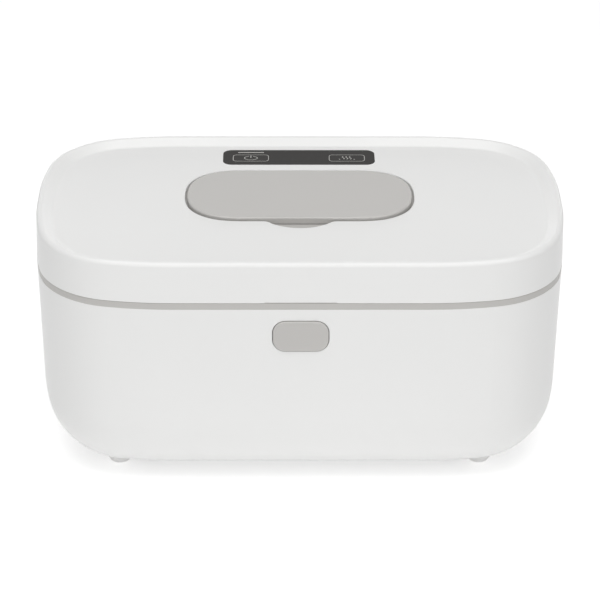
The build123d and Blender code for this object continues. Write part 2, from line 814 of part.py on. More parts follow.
with BuildPart() as touch_panel:
    with BuildSketch(Plane.XY.offset(field_top - panel_thickness)):
        with Locations((0, panel_y)):
            RectangleRounded(panel_length, panel_depth, panel_corner)
    extrude(amount=panel_thickness)
touch_panel.part.label = "touch_panel"
export_step(touch_panel.part, "parts/touch_panel.step")

with BuildPart() as display_board:
    with BuildSketch(Plane.XY.offset(board_bottom)):
        with Locations((0, display_y)):
            Rectangle(display_length, display_depth)
        with Locations(*display_spots):
            Circle(small_screw_radius + screw_clearance, mode=Mode.SUBTRACT)
    extrude(amount=board_thickness)
    with BuildSketch(Plane.XY.offset(board_bottom)):
        with Locations((-8, display_y)):
            Rectangle(6, 6)
        with Locations((9, display_y)):
            Rectangle(5, 4)
    extrude(amount=-1.6)
display_board.part.label = "display_board"
export_step(display_board.part, "parts/display_board.step")

# Light block that shines up through the middle of the panel
with BuildPart() as light_block:
    with BuildSketch(Plane.XY.offset(board_top)):
        with Locations((0, panel_y)):
            RectangleRounded(13, 6, 0.8)
    extrude(amount=field_top - panel_thickness - board_top - 0.1)
light_block.part.label = "light_block"
export_step(light_block.part, "parts/light_block.step")


# Round-wire compression spring on a straight axis, with its length along +Z.
def coil(radius, wire, length, turns):
    with BuildPart(mode=Mode.PRIVATE) as spring:
        with BuildLine():
            path = Helix((length - 2 * wire) / turns, length - 2 * wire, radius, (0, 0, wire))
        with BuildSketch(Plane(origin=path @ 0, z_dir=path % 0)):
            Circle(wire / 2)
        sweep()
    return spring.part


for name, x in (("left", -key_spread), ("right", key_spread)):
    with BuildPart() as touch_spring:
        with Locations((x, panel_y - 0.8, board_top)):
            add(coil(2.2, 0.4, field_top - panel_thickness - board_top - 0.1, 4))
    touch_spring.part.label = "touch_spring_" + name
    export_step(touch_spring.part, "parts/touch_spring_" + name + ".step")

# Flap: thin lozenge with a turned-down edge and two hinge barrels.
with BuildPart() as flap:
    with BuildSketch(Plane.XY.offset(flap_bottom)):
        add(flap_outline(0))
    extrude(amount=flap_top - flap_bottom)
    fillet(flap.edges().filter_by(lambda e: abs(e.center().Z - flap_top) < 0.01), flap_edge)
    with BuildSketch(Plane.XY.offset(flap_bottom)):
        add(flap_outline(flap_rim))
        with Locations((0, flap_hinge_y - 3.5)):
            Rectangle(flap_length + 2, 20, align=(Align.CENTER, Align.MIN))
    extrude(amount=flap_top - flap_thickness - flap_bottom, mode=Mode.SUBTRACT)
    with BuildSketch(Plane.YZ.offset(-24)):
        with Locations((flap_hinge_y, flap_hinge_z)):
            Circle(1.7)
    extrude(amount=48)
    for x in (-flap_lug_x, flap_lug_x):
        clear = flap_lug_radius + 0.25
        with BuildSketch(Plane.YZ.offset(x - flap_lug_width / 2 - moving_gap)):
            with Locations((flap_hinge_y - clear, flap_hinge_z + clear)):
                Rectangle(8, 8, align=(Align.MIN, Align.MAX))
        extrude(amount=flap_lug_width + 2 * moving_gap, mode=Mode.SUBTRACT)
        with BuildSketch(Plane.YZ.offset(x - 6)):
            with Locations((flap_hinge_y, flap_hinge_z)):
                Circle(flap_pin_radius + 0.02)
        extrude(amount=12, mode=Mode.SUBTRACT)
flap.part.label = "flap"
export_step(flap.part, "parts/flap.step")

# Button: soft-edged cap with a retaining flange on three sides and two arms at the back.
flange_front = front_wall_inside(button_z - button_height / 2) + moving_gap
arm_x = latch_length / 2 - arm_thickness / 2
arm_z = button_top - 1.6
with BuildPart(mode=Mode.PRIVATE) as button_cap:
    with BuildSketch(Plane.XZ.offset(-flange_front)):
        with Locations((0, button_z)):
            RectangleRounded(button_width, button_height, button_corner)
    extrude(amount=wall + 3)
    add(drafted_tub(-button_proud, foot_height, bottom_radius), mode=Mode.INTERSECT)
    face_edges = button_cap.edges().filter_by(lambda e: e.center().Y < wall / 2 - half_depth + 0.5)
    fillet(face_edges, button_edge)

with BuildPart() as button:
    add(button_cap.part)
    with BuildSketch(Plane.XZ.offset(-flange_front)):
        with Locations((0, button_z)):
            RectangleRounded(button_width + 2.6, button_height + 2.6, button_corner + 1.3)
        with Locations((0, button_top)):
            Rectangle(button_width + 6, 6, align=(Align.CENTER, Align.MIN), mode=Mode.SUBTRACT)
    extrude(amount=-1)
    with BuildSketch(Plane.XZ.offset(-cap_back)):
        with Locations((0, button_z)):
            RectangleRounded(button_width - 3.6, button_height - 3.6, button_corner - 1.8)
    extrude(amount=-4, mode=Mode.SUBTRACT)
    with BuildSketch(Plane.XZ.offset(-cap_back)):
        with Locations((0, spring_z)):
            Circle(1.5)
    extrude(amount=-3)
    with BuildSketch(Plane.XZ.offset(-cap_back)):
        with Locations((-arm_x, arm_z), (arm_x, arm_z)):
            Rectangle(arm_thickness, arm_height)
    extrude(amount=cap_back - latch_front)
button.part.label = "button"
export_step(button.part, "parts/button.step")

# Latch bar: bridges the arms behind the catch, and its top edge holds the catch's window.
with BuildPart() as latch_bar:
    latch_bottom = arm_z - arm_height / 2
    latch_top = flange_bottom - moving_gap
    with BuildSketch(Plane.XZ.offset(-latch_front)):
        with Locations((0, (latch_bottom + latch_top) / 2)):
            RectangleRounded(latch_length, latch_top - latch_bottom, 0.8)
    extrude(amount=-latch_thickness)
latch_bar.part.label = "latch_bar"
export_step(latch_bar.part, "parts/latch_bar.step")

with BuildPart() as latch_bracket:
    with BuildSketch(Plane.XZ.offset(-bracket_front)):
        with Locations((0, bracket_z)):
            RectangleRounded(2 * bracket_spread + 7, 7, 2)
        with Locations((0, spring_z)):
            RectangleRounded(12, 6.6, 2)
        with Locations(*bracket_spots):
            Circle(small_screw_radius + screw_clearance, mode=Mode.SUBTRACT)
    extrude(amount=-bracket_thickness)
latch_bracket.part.label = "latch_bracket"
export_step(latch_bracket.part, "parts/latch_bracket.step")

with BuildPart() as button_spring:
    with Locations(Location((0, cap_back, spring_z), (-90, 0, 0))):
        add(coil(spring_radius - spring_wire / 2, spring_wire, bracket_front - cap_back, 4))
button_spring.part.label = "button_spring"
export_step(button_spring.part, "parts/button_spring.step")

# Feet: soft tapered pads whose stems press through the floor.
for name, spot in zip(("left_front", "left_rear", "right_front", "right_rear"), foot_spots):
    with BuildPart() as foot:
        with BuildSketch(Plane.XY):
            with Locations(spot):
                Circle(foot_narrow)
        with BuildSketch(Plane.XY.offset(foot_height)):
            with Locations(spot):
                Circle(foot_wide)
        loft()
        fillet(foot.edges().sort_by(Axis.Z)[0], 1.2)
        with BuildSketch(Plane.XY.offset(foot_height)):
            with Locations(spot):
                Circle(foot_wide)
        extrude(amount=3)
        add(drafted_tub(-0.03, foot_height - 0.03, bottom_radius), mode=Mode.SUBTRACT)
        with BuildSketch(Plane.XY.offset(foot_height - 1)):
            with Locations(spot):
                Circle(foot_stem)
        extrude(amount=6.5)
    foot.part.label = "foot_" + name
    export_step(foot.part, "parts/foot_" + name + ".step")

# Pins and screws
with BuildPart() as hinge_pins:
    for x in (-knuckle_x, knuckle_x):
        with BuildSketch(Plane.YZ.offset(x - hinge_block / 2)):
            with Locations((hinge_y, hinge_z)):
                Circle(pin_radius)
        extrude(amount=hinge_block)
hinge_pins.part.label = "hinge_pins"
export_step(hinge_pins.part, "parts/hinge_pins.step")

with BuildPart() as flap_pins:
    for x in (-flap_lug_x, flap_lug_x):
        with BuildSketch(Plane.YZ.offset(x - 6)):
            with Locations((flap_hinge_y, flap_hinge_z)):
                Circle(flap_pin_radius)
        extrude(amount=12)
flap_pins.part.label = "flap_pins"
export_step(flap_pins.part, "parts/flap_pins.step")

with BuildPart() as case_screws:
    with Locations(*case_screw_spots):
        add(screw(foot_height + head_sink, case_screw_length))
case_screws.part.label = "case_screws"
export_step(case_screws.part, "parts/case_screws.step")

with BuildPart() as cover_screws:
    with Locations(*cover_spots):
        add(screw(cover_bottom, cover_screw_length, 1, small_screw_radius, small_screw_head))
cover_screws.part.label = "cover_screws"
export_step(cover_screws.part, "parts/cover_screws.step")

with BuildPart() as board_screws:
    with Locations(*board_spots):
        add(screw(power_board_top, board_screw_length, -1, small_screw_radius, small_screw_head))
board_screws.part.label = "board_screws"
export_step(board_screws.part, "parts/board_screws.step")

with BuildPart() as display_screws:
    with Locations(*display_spots):
        add(screw(board_bottom, display_screw_length, 1, small_screw_radius, small_screw_head))
display_screws.part.label = "display_screws"
export_step(display_screws.part, "parts/display_screws.step")

with BuildPart() as bracket_screws:
    for x, z in bracket_spots:
        place = Location((x, bracket_front + bracket_thickness, z), (90, 0, 0))
        with Locations(place):
            add(screw(0, bracket_screw_length, 1, small_screw_radius, small_screw_head))
bracket_screws.part.label = "bracket_screws"
export_step(bracket_screws.part, "parts/bracket_screws.step")

with BuildPart() as catch_screws:
    for x, z in catch_spots:
        with Locations(Location((x, catch_back, z), (90, 0, 0))):
            add(screw(0, catch_screw_length, 1, small_screw_radius, small_screw_head))
catch_screws.part.label = "catch_screws"
export_step(catch_screws.part, "parts/catch_screws.step")
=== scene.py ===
import json
import math
import bmesh
import bpy
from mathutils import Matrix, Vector


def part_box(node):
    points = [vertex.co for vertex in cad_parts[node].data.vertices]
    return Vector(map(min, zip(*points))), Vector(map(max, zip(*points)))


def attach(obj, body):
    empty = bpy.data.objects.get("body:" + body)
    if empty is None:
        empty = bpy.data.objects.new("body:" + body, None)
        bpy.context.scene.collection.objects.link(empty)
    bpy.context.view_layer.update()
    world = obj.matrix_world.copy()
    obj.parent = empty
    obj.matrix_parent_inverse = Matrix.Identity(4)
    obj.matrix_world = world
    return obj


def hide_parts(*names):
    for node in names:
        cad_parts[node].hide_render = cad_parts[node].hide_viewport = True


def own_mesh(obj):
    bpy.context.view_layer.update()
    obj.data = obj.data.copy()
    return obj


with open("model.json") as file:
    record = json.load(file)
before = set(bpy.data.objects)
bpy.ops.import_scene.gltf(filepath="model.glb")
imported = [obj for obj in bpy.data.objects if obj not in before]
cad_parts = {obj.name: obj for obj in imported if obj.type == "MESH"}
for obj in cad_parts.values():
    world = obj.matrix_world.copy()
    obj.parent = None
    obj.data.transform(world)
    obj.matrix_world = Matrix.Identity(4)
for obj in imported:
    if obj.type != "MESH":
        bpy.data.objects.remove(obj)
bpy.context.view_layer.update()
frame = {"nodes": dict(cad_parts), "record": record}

mm = 0.001


def hexColour(code):
    channels = [int(code[i:i + 2], 16) / 255 for i in (1, 3, 5)]
    return [c / 12.92 if c <= 0.04045 else ((c + 0.055) / 1.055) ** 2.4 for c in channels] + [1.0]


def addNode(tree, kind, inputs=None, **settings):  # adds one node, with its settings and links
    node = tree.nodes.new(kind)
    for name, value in settings.items():
        setattr(node, name, value)
    for name, value in (inputs or {}).items():
        if isinstance(value, bpy.types.NodeSocket):
            tree.links.new(value, node.inputs[name])
        else:
            node.inputs[name].default_value = value
    return node


def newMaterial(name):
    material = bpy.data.materials.new(name)
    material.use_nodes = True
    material.node_tree.nodes.clear()
    return material, material.node_tree


def mouldedPlastic(name, look):  # fine eroded grain, with a slow drift of tone and gloss
    material, tree = newMaterial(name)
    place = addNode(tree, "ShaderNodeTexCoord").outputs["Object"]
    drift = addNode(tree, "ShaderNodeTexNoise", {
        "Vector": place, "Scale": 1 / look["drift"], "Detail": 2.0}).outputs["Fac"]
    tone = addNode(tree, "ShaderNodeMix", {
        0: drift, 6: hexColour(look["dark"]), 7: hexColour(look["light"])}, data_type="RGBA")
    gloss = addNode(tree, "ShaderNodeMapRange", {
        "Value": drift, "From Min": 0.3, "From Max": 0.7,
        "To Min": look["rough"] - look["spread"], "To Max": look["rough"] + look["spread"]})
    grain = addNode(tree, "ShaderNodeTexNoise", {
        "Vector": place, "Scale": 1 / look["grain"], "Detail": 2.0})
    relief = addNode(tree, "ShaderNodeBump", {
        "Height": grain.outputs["Fac"], "Distance": look["depth"], "Strength": 0.5})
    shader = addNode(tree, "ShaderNodeBsdfPrincipled", {
        "Base Color": tone.outputs[2], "Roughness": gloss.outputs["Result"], "IOR": look["ior"],
        "Normal": relief.outputs[0]})
    addNode(tree, "ShaderNodeOutputMaterial", {"Surface": shader.outputs[0]})
    return material


def mouldedRubber(name, look):  # silky skin that lets a little light in, with a faint mottle
    material, tree = newMaterial(name)
    place = addNode(tree, "ShaderNodeTexCoord").outputs["Object"]
    mottle = addNode(tree, "ShaderNodeTexNoise", {
        "Vector": place, "Scale": 1 / look["mottle"], "Detail": 4.0})
    tone = addNode(tree, "ShaderNodeMix", {
        0: mottle.outputs["Fac"], 6: hexColour(look["dark"]), 7: hexColour(look["light"])},
        data_type="RGBA")
    grain = addNode(tree, "ShaderNodeTexNoise", {
        "Vector": place, "Scale": 1 / look["grain"], "Detail": 2.0})
    relief = addNode(tree, "ShaderNodeBump", {
        "Height": grain.outputs["Fac"], "Distance": look["depth"], "Strength": 0.5})
    shader = addNode(tree, "ShaderNodeBsdfPrincipled", {
        "Base Color": tone.outputs[2], "Roughness": look["rough"], "IOR": look["ior"],
        "Subsurface Weight": look["glow"], "Subsurface Radius": look["reach"],
        "Subsurface Scale": 0.5, "Normal": relief.outputs[0]})
    addNode(tree, "ShaderNodeOutputMaterial", {"Surface": shader.outputs[0]})
    return material


def workedMetal(name, look):  # fine lines along the way it was drawn or rolled
    material, tree = newMaterial(name)
    place = addNode(tree, "ShaderNodeTexCoord").outputs["Object"]
    along = addNode(tree, "ShaderNodeMapping", {"Vector": place, "Scale": look["along"]})
    lines = addNode(tree, "ShaderNodeTexNoise", {
        "Vector": along.outputs[0], "Scale": 1 / look["line"], "Detail": 3.0}).outputs["Fac"]
    tone = addNode(tree, "ShaderNodeMix", {
        0: lines, 6: hexColour(look["dark"]), 7: hexColour(look["light"])}, data_type="RGBA")
    gloss = addNode(tree, "ShaderNodeMapRange", {
        "Value": lines, "From Min": 0.3, "From Max": 0.7,
        "To Min": look["rough"] - look["spread"], "To Max": look["rough"] + look["spread"]})
    relief = addNode(tree, "ShaderNodeBump", {
        "Height": lines, "Distance": look["depth"], "Strength": 0.4})
    shader = addNode(tree, "ShaderNodeBsdfPrincipled", {
        "Base Color": tone.outputs[2], "Roughness": gloss.outputs["Result"], "Metallic": 1.0,
        "Normal": relief.outputs[0]})
    addNode(tree, "ShaderNodeOutputMaterial", {"Surface": shader.outputs[0]})
    return material


def pressedFelt(name, look):  # matt matted fibres with a soft light edge
    material, tree = newMaterial(name)
    place = addNode(tree, "ShaderNodeTexCoord").outputs["Object"]
    fibres = addNode(tree, "ShaderNodeTexNoise", {
        "Vector": place, "Scale": 1 / look["fibre"], "Detail": 6.0}).outputs["Fac"]
    tone = addNode(tree, "ShaderNodeMix", {
        0: fibres, 6: hexColour(look["dark"]), 7: hexColour(look["light"])}, data_type="RGBA")
    relief = addNode(tree, "ShaderNodeBump", {
        "Height": fibres, "Distance": look["depth"], "Strength": 0.8})
    shader = addNode(tree, "ShaderNodeBsdfPrincipled", {
        "Base Color": tone.outputs[2], "Roughness": look["rough"], "IOR": look["ior"],
        "Sheen Weight": 0.3, "Normal": relief.outputs[0]})
    addNode(tree, "ShaderNodeOutputMaterial", {"Surface": shader.outputs[0]})
    return material


def circuitBoard(name, look):  # solder mask, raised a little where a copper track runs under it
    material, tree = newMaterial(name)
    place = addNode(tree, "ShaderNodeTexCoord").outputs["Object"]
    tracks = addNode(tree, "ShaderNodeTexBrick", {
        "Vector": place, "Scale": 1.0, "Brick Width": look["run"], "Row Height": look["pitch"],
        "Mortar Size": look["gap"], "Color1": hexColour(look["mask"]),
        "Color2": hexColour(look["track"]), "Mortar": hexColour(look["base"])})
    relief = addNode(tree, "ShaderNodeBump", {
        "Height": tracks.outputs["Fac"], "Distance": look["depth"], "Strength": 0.6})
    shader = addNode(tree, "ShaderNodeBsdfPrincipled", {
        "Base Color": tracks.outputs["Color"], "Roughness": look["rough"], "IOR": look["ior"],
        "Normal": relief.outputs[0]})
    addNode(tree, "ShaderNodeOutputMaterial", {"Surface": shader.outputs[0]})
    return material


bandShare = 0.314  # the wave node draws one band over this length at a scale of 1


def etchedFilm(name, look):  # amber film with the etched heating track showing through
    material, tree = newMaterial(name)
    place = addNode(tree, "ShaderNodeTexCoord").outputs["Object"]
    wave = addNode(tree, "ShaderNodeTexWave", {
        "Vector": place, "Scale": bandShare / look["pitch"], "Distortion": 0.0}, bands_direction="Y")
    track = addNode(tree, "ShaderNodeMapRange", {
        "Value": wave.outputs["Fac"], "From Min": 0.55, "From Max": 0.65}).outputs["Result"]
    tone = addNode(tree, "ShaderNodeMix", {
        0: track, 6: hexColour(look["film"]), 7: hexColour(look["track"])}, data_type="RGBA")
    relief = addNode(tree, "ShaderNodeBump", {
        "Height": track, "Distance": look["depth"], "Strength": 0.5})
    shader = addNode(tree, "ShaderNodeBsdfPrincipled", {
        "Base Color": tone.outputs[2], "Roughness": look["rough"], "IOR": look["ior"],
        "Normal": relief.outputs[0]})
    addNode(tree, "ShaderNodeOutputMaterial", {"Surface": shader.outputs[0]})
    return material


def polishedAcrylic(name, look):  # smooth dark front with a faint smear of handling
    material, tree = newMaterial(name)
    place = addNode(tree, "ShaderNodeTexCoord").outputs["Object"]
    smear = addNode(tree, "ShaderNodeTexNoise", {
        "Vector": place, "Scale": 1 / look["smear"], "Detail": 5.0}).outputs["Fac"]
    tone = addNode(tree, "ShaderNodeMix", {
        0: smear, 6: hexColour(look["dark"]), 7: hexColour(look["light"])}, data_type="RGBA")
    gloss = addNode(tree, "ShaderNodeMapRange", {
        "Value": smear, "From Min": 0.3, "From Max": 0.7,
        "To Min": look["rough"], "To Max": look["rough"] + look["spread"]})
    shader = addNode(tree, "ShaderNodeBsdfPrincipled", {
        "Base Color": tone.outputs[2], "Roughness": gloss.outputs["Result"], "IOR": look["ior"],
        "Specular IOR Level": look["shine"]})
    addNode(tree, "ShaderNodeOutputMaterial", {"Surface": shader.outputs[0]})
    return material


# Real mould grain, rolling lines and felt fibres are 0.1 mm or finer, too fine to show,
# so the looks below draw them as coarse as they need to be
looks = {
    # ABS from an eroded mould: satin white, with wide soft highlights
    "white_shell": mouldedPlastic("absWhiteMoulded", {
        "dark": "#ECECEB", "light": "#F0F0EF", "rough": 0.36, "ior": 1.54, "drift": 90 * mm,
        "grain": 0.5 * mm, "depth": 0.012 * mm, "spread": 0.025}),
    # The same ABS tinted warm grey, a touch flatter: trim ring, flap, flap well and button
    "grey_plastic": mouldedPlastic("absGreyMoulded", {
        "dark": "#BEBCB9", "light": "#C2C0BD", "rough": 0.42, "ior": 1.54, "drift": 60 * mm,
        "grain": 0.4 * mm, "depth": 0.015 * mm, "spread": 0.025}),
    # Polypropylene: slightly waxy and milky, softer highlights than the shell
    "tank": mouldedPlastic("polypropyleneMoulded", {
        "dark": "#E4E4E1", "light": "#EAEAE7", "rough": 0.46, "ior": 1.49, "drift": 50 * mm,
        "grain": 0.8 * mm, "depth": 0.02 * mm, "spread": 0.025}),
    # Acetal: slippery mid grey working parts
    "latch": mouldedPlastic("acetalMoulded", {
        "dark": "#8B8C8E", "light": "#939496", "rough": 0.4, "ior": 1.48, "drift": 20 * mm,
        "grain": 0.4 * mm, "depth": 0.01 * mm, "spread": 0.025}),
    # Glass-filled nylon: dull black with a coarse sparkle
    "inlet": mouldedPlastic("nylonBlackMoulded", {
        "dark": "#1B1B1C", "light": "#232324", "rough": 0.5, "ior": 1.53, "drift": 10 * mm,
        "grain": 0.3 * mm, "depth": 0.02 * mm, "spread": 0.025}),
    # Opal acrylic: bright, smooth and even
    "diffuser": mouldedPlastic("acrylicOpalMoulded", {
        "dark": "#EFEEE6", "light": "#F4F3EC", "rough": 0.25, "ior": 1.49, "drift": 10 * mm,
        "grain": 0.6 * mm, "depth": 0.01 * mm, "spread": 0.025}),
    # Silicone-rubber wire sheath: plain red with a soft sheen
    "wire": mouldedPlastic("wireSheathExtruded", {
        "dark": "#B03A34", "light": "#BC4640", "rough": 0.45, "ior": 1.43, "drift": 4 * mm,
        "grain": 0.3 * mm, "depth": 0.01 * mm, "spread": 0.025}),
    # Steatite: pale, dense and barely glossy
    "fuse": mouldedPlastic("steatiteFired", {
        "dark": "#D6CFBF", "light": "#E0DACB", "rough": 0.5, "ior": 1.6, "drift": 4 * mm,
        "grain": 0.3 * mm, "depth": 0.02 * mm, "spread": 0.025}),
    # Grey silicone: silky gaskets and mouth
    "silicone": mouldedRubber("siliconeGreyMoulded", {
        "dark": "#CFCECB", "light": "#D6D5D2", "rough": 0.5, "ior": 1.41, "mottle": 10 * mm,
        "grain": 0.5 * mm, "depth": 0.02 * mm, "glow": 0.15, "reach": (4 * mm, 4 * mm, 3.5 * mm)}),
    # Milky silicone feet: a little light soaks in, and their colour is raised to near pure white, paler
    # than the shell, as painted light that lifts the shade under the body
    "foot_rubber": mouldedRubber("siliconeMilkyPaintedPale", {
        "dark": "#FAF9F7", "light": "#FEFDFC", "rough": 0.4, "ior": 1.41, "mottle": 6 * mm,
        "grain": 0.6 * mm, "depth": 0.02 * mm, "glow": 0.3, "reach": (6 * mm, 6 * mm, 5.5 * mm)}),
    # Zinc-plated steel: cool grey with a drawn sheen
    "steel": workedMetal("steelZincPlated", {
        "dark": "#A9AAAA", "light": "#C2C3C3", "rough": 0.33, "line": 0.6 * mm,
        "depth": 0.01 * mm, "along": (0.15, 1.0, 1.0), "spread": 0.07}),
    # Rolled aluminium sheet: pale, streaked along the roll
    "aluminium": workedMetal("aluminiumRolled", {
        "dark": "#BBBDBF", "light": "#CDCFD1", "rough": 0.36, "line": 0.8 * mm,
        "depth": 0.01 * mm, "along": (0.03, 1.0, 1.0), "spread": 0.07}),
    # Ceramic-fibre felt: dry, matt and slightly fuzzy
    "pad": pressedFelt("ceramicFeltPressed", {
        "dark": "#D9D5C9", "light": "#EBE7DC", "rough": 0.95, "ior": 1.5, "fibre": 1.2 * mm,
        "depth": 0.3 * mm}),
    # Glass-epoxy board under green solder mask: glossy, with tracks in low relief
    "board": circuitBoard("glassEpoxyMasked", {
        "mask": "#2B5638", "track": "#336242", "base": "#25492F", "rough": 0.35, "ior": 1.55,
        "run": 6 * mm, "pitch": 1.6 * mm, "gap": 0.25 * mm, "depth": 0.04 * mm}),
    # Polyimide film: clear amber over a dark foil track
    "film": etchedFilm("polyimideFilmEtched", {
        "film": "#B26A2B", "track": "#8A4A1C", "rough": 0.3, "ior": 1.7, "pitch": 5.2 * mm,
        "depth": 0.04 * mm}),
    # Smoked acrylic: near black and smooth, its shine kept low by an anti-glare coat
    "panel": polishedAcrylic("acrylicSmokedPolished", {
        "dark": "#1B1916", "light": "#201D1A", "rough": 0.14, "ior": 1.49, "smear": 20 * mm,
        "shine": 0.1, "spread": 0.08}),
}

for row in frame["record"]["subparts"]:
    piece = frame["nodes"][row["node"]]
    piece.data.materials.clear()
    piece.data.materials.append(looks[row["material_slot"]])
print("materials set")


def flatStroke(builder, points, width, height, closed=False):  # printed line of even width
    count = len(points)
    left, right = [], []
    for i, here in enumerate(points):
        before = points[(i - 1) % count] if closed or i else here
        after = points[(i + 1) % count] if closed or i < count - 1 else here
        along = (Vector(after) - Vector(before)).normalized()
        side = Vector((-along.y, along.x)) * width / 2
        left.append(builder.verts.new((here[0] + side.x, here[1] + side.y, height)))
        right.append(builder.verts.new((here[0] - side.x, here[1] - side.y, height)))
    for i in range(count if closed else count - 1):
        j = (i + 1) % count
        builder.faces.new((left[i], right[i], right[j], left[j]))


def arcPoints(x, y, radius, startDegrees, endDegrees, steps):
    points = []
    for i in range(steps + 1):
        angle = math.radians(startDegrees + (endDegrees - startDegrees) * i / steps)
        points.append((x + radius * math.cos(angle), y + radius * math.sin(angle)))
    return points


def roundedBox(x, y, halfX, halfY, radius, steps):
    points = []
    for sideX, sideY, start in ((1, 1, 0), (-1, 1, 90), (-1, -1, 180), (1, -1, 270)):
        points += arcPoints(x + sideX * (halfX - radius), y + sideY * (halfY - radius),
                            radius, start, start + 90, steps)
    return points


springShape = {"turns": 4, "wire": 0.5 * mm, "endsCloser": 0.07, "steps": 112, "sides": 12,
               "pressedTo": 0.6}


def buttonSpring(look):  # coil of wire in the button spring's place, wound closer at its ends
    low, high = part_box("button_spring")
    midX, midZ = (low[0] + high[0]) / 2, (low[2] + high[2]) / 2
    wireRadius = look["wire"] / 2
    radius = (high[0] - low[0]) / 2 - wireRadius
    length = high[1] - low[1] - look["wire"]
    slope = length / (look["turns"] * 2 * math.pi * radius)
    builder = bmesh.new()
    rings = []
    for i in range(look["steps"] + 1):
        share = i / look["steps"]
        angle = share * look["turns"] * 2 * math.pi
        run = share - look["endsCloser"] * math.sin(share * 2 * math.pi)
        outward = Vector((math.cos(angle), 0, math.sin(angle)))
        forward = Vector((-math.sin(angle), slope, math.cos(angle))).normalized()
        across = forward.cross(outward)
        middle = Vector((midX, low[1] + wireRadius + length * run, midZ)) + outward * radius
        ring = []
        for k in range(look["sides"]):
            turn = k / look["sides"] * 2 * math.pi
            ring.append(builder.verts.new(
                middle + (outward * math.cos(turn) + across * math.sin(turn)) * wireRadius))
        rings.append(ring)
    for ring, after in zip(rings, rings[1:]):
        for k in range(look["sides"]):
            j = (k + 1) % look["sides"]
            builder.faces.new((ring[k], ring[j], after[j], after[k]))
    builder.faces.new(rings[0])
    builder.faces.new(rings[-1])
    bmesh.ops.recalc_face_normals(builder, faces=builder.faces)
    for face in builder.faces:
        face.smooth = len(face.verts) == 4
    mesh = bpy.data.meshes.new("buttonSpringCoil")
    builder.to_mesh(mesh)
    builder.free()
    spring = bpy.data.objects.new("buttonSpringCoil", mesh)
    bpy.context.collection.objects.link(spring)
    mesh.materials.append(looks["steel"])
    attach(spring, "base")
    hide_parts("button_spring")
    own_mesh(spring)


buttonSpring(springShape)
print("button spring made")

panelInk = {"dark": "#A9A8A4", "light": "#BBBAB6", "rough": 0.45, "ior": 1.5, "patch": 0.6 * mm}


def printedInk(name, look):  # screen-printed ink, thin enough to be a little uneven
    material, tree = newMaterial(name)
    place = addNode(tree, "ShaderNodeTexCoord").outputs["Object"]
    patch = addNode(tree, "ShaderNodeTexNoise", {
        "Vector": place, "Scale": 1 / look["patch"], "Detail": 2.0})
    tone = addNode(tree, "ShaderNodeMix", {
        0: patch.outputs["Fac"], 6: hexColour(look["dark"]), 7: hexColour(look["light"])},
        data_type="RGBA")
    shader = addNode(tree, "ShaderNodeBsdfPrincipled", {
        "Base Color": tone.outputs[2], "Roughness": look["rough"], "IOR": look["ior"]})
    addNode(tree, "ShaderNodeOutputMaterial", {"Surface": shader.outputs[0]})
    return material


panelPrint = {
    # key frames: in from the panel's ends, and a little below its mid line
    "keyInset": 12.6 * mm, "keyDrop": 0.75 * mm, "halfX": 8.0 * mm, "halfY": 3.45 * mm,
    "corner": 1.6 * mm, "cornerSteps": 8, "line": 0.3 * mm, "lift": 0.03 * mm,
    # power mark: a loop open at the top, with a stem in its gap
    "powerWide": 2.95 * mm, "powerHigh": 1.95 * mm, "loopFrom": 110, "loopTo": 430, "loopSteps": 30,
    "iconLine": 0.36 * mm, "stemLine": 0.39 * mm, "stemLow": 0.1 * mm, "stemHigh": 2.7 * mm,
    # heat mark: three waves between two dots
    "waveGap": 1.6 * mm, "waveHigh": 3.2 * mm, "waveSwing": 0.42 * mm, "waveRise": 0.3 * mm,
    "waveSteps": 12, "dotX": 3.35 * mm, "dotDrop": 1.3 * mm, "dotRadius": 0.32 * mm, "dotSteps": 10,
    # line above the power key
    "barRise": 5.35 * mm, "barHalf": 5.9 * mm, "barHigh": 0.9 * mm,
}


def printedPanel(look):  # two key frames with their marks, and the line above the power key
    low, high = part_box("touch_panel")
    midY, height = (low[1] + high[1]) / 2, high[2] + look["lift"]
    keyX, keyY, barY = high[0] - look["keyInset"], midY - look["keyDrop"], midY + look["barRise"]
    builder = bmesh.new()
    for side in (-1, 1):
        frameLine = roundedBox(side * keyX, keyY, look["halfX"], look["halfY"],
                               look["corner"], look["cornerSteps"])
        flatStroke(builder, frameLine, look["line"], height, True)
    loop = [(-keyX + look["powerWide"] * x, keyY + look["powerHigh"] * y)
            for x, y in arcPoints(0, 0, 1, look["loopFrom"], look["loopTo"], look["loopSteps"])]
    flatStroke(builder, loop, look["iconLine"], height)
    flatStroke(builder, [(-keyX, keyY + look["stemLow"]), (-keyX, keyY + look["stemHigh"])],
               look["stemLine"], height)
    for step in (-1, 0, 1):
        wave = []
        for k in range(look["waveSteps"] + 1):
            share = k / look["waveSteps"]
            swing = look["waveSwing"] * math.sin(share * 2 * math.pi)
            wave.append((keyX + step * look["waveGap"] + swing,
                         keyY + look["waveRise"] + (share - 0.5) * look["waveHigh"]))
        flatStroke(builder, wave, look["iconLine"], height)
    for side in (-1, 1):
        dot = arcPoints(keyX + side * look["dotX"], keyY - look["dotDrop"], look["dotRadius"],
                        0, 360, look["dotSteps"])[:-1]
        builder.faces.new([builder.verts.new((x, y, height)) for x, y in dot])
    flatStroke(builder, [(-keyX - look["barHalf"], barY), (-keyX + look["barHalf"], barY)],
               look["barHigh"], height)
    mesh = bpy.data.meshes.new("panelMarks")
    builder.to_mesh(mesh)
    builder.free()
    marks = bpy.data.objects.new("panelMarks", mesh)
    bpy.context.collection.objects.link(marks)
    mesh.materials.append(printedInk("inkGreyPrinted", panelInk))
    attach(marks, "lid")


printedPanel(panelPrint)
print("panel marks made")


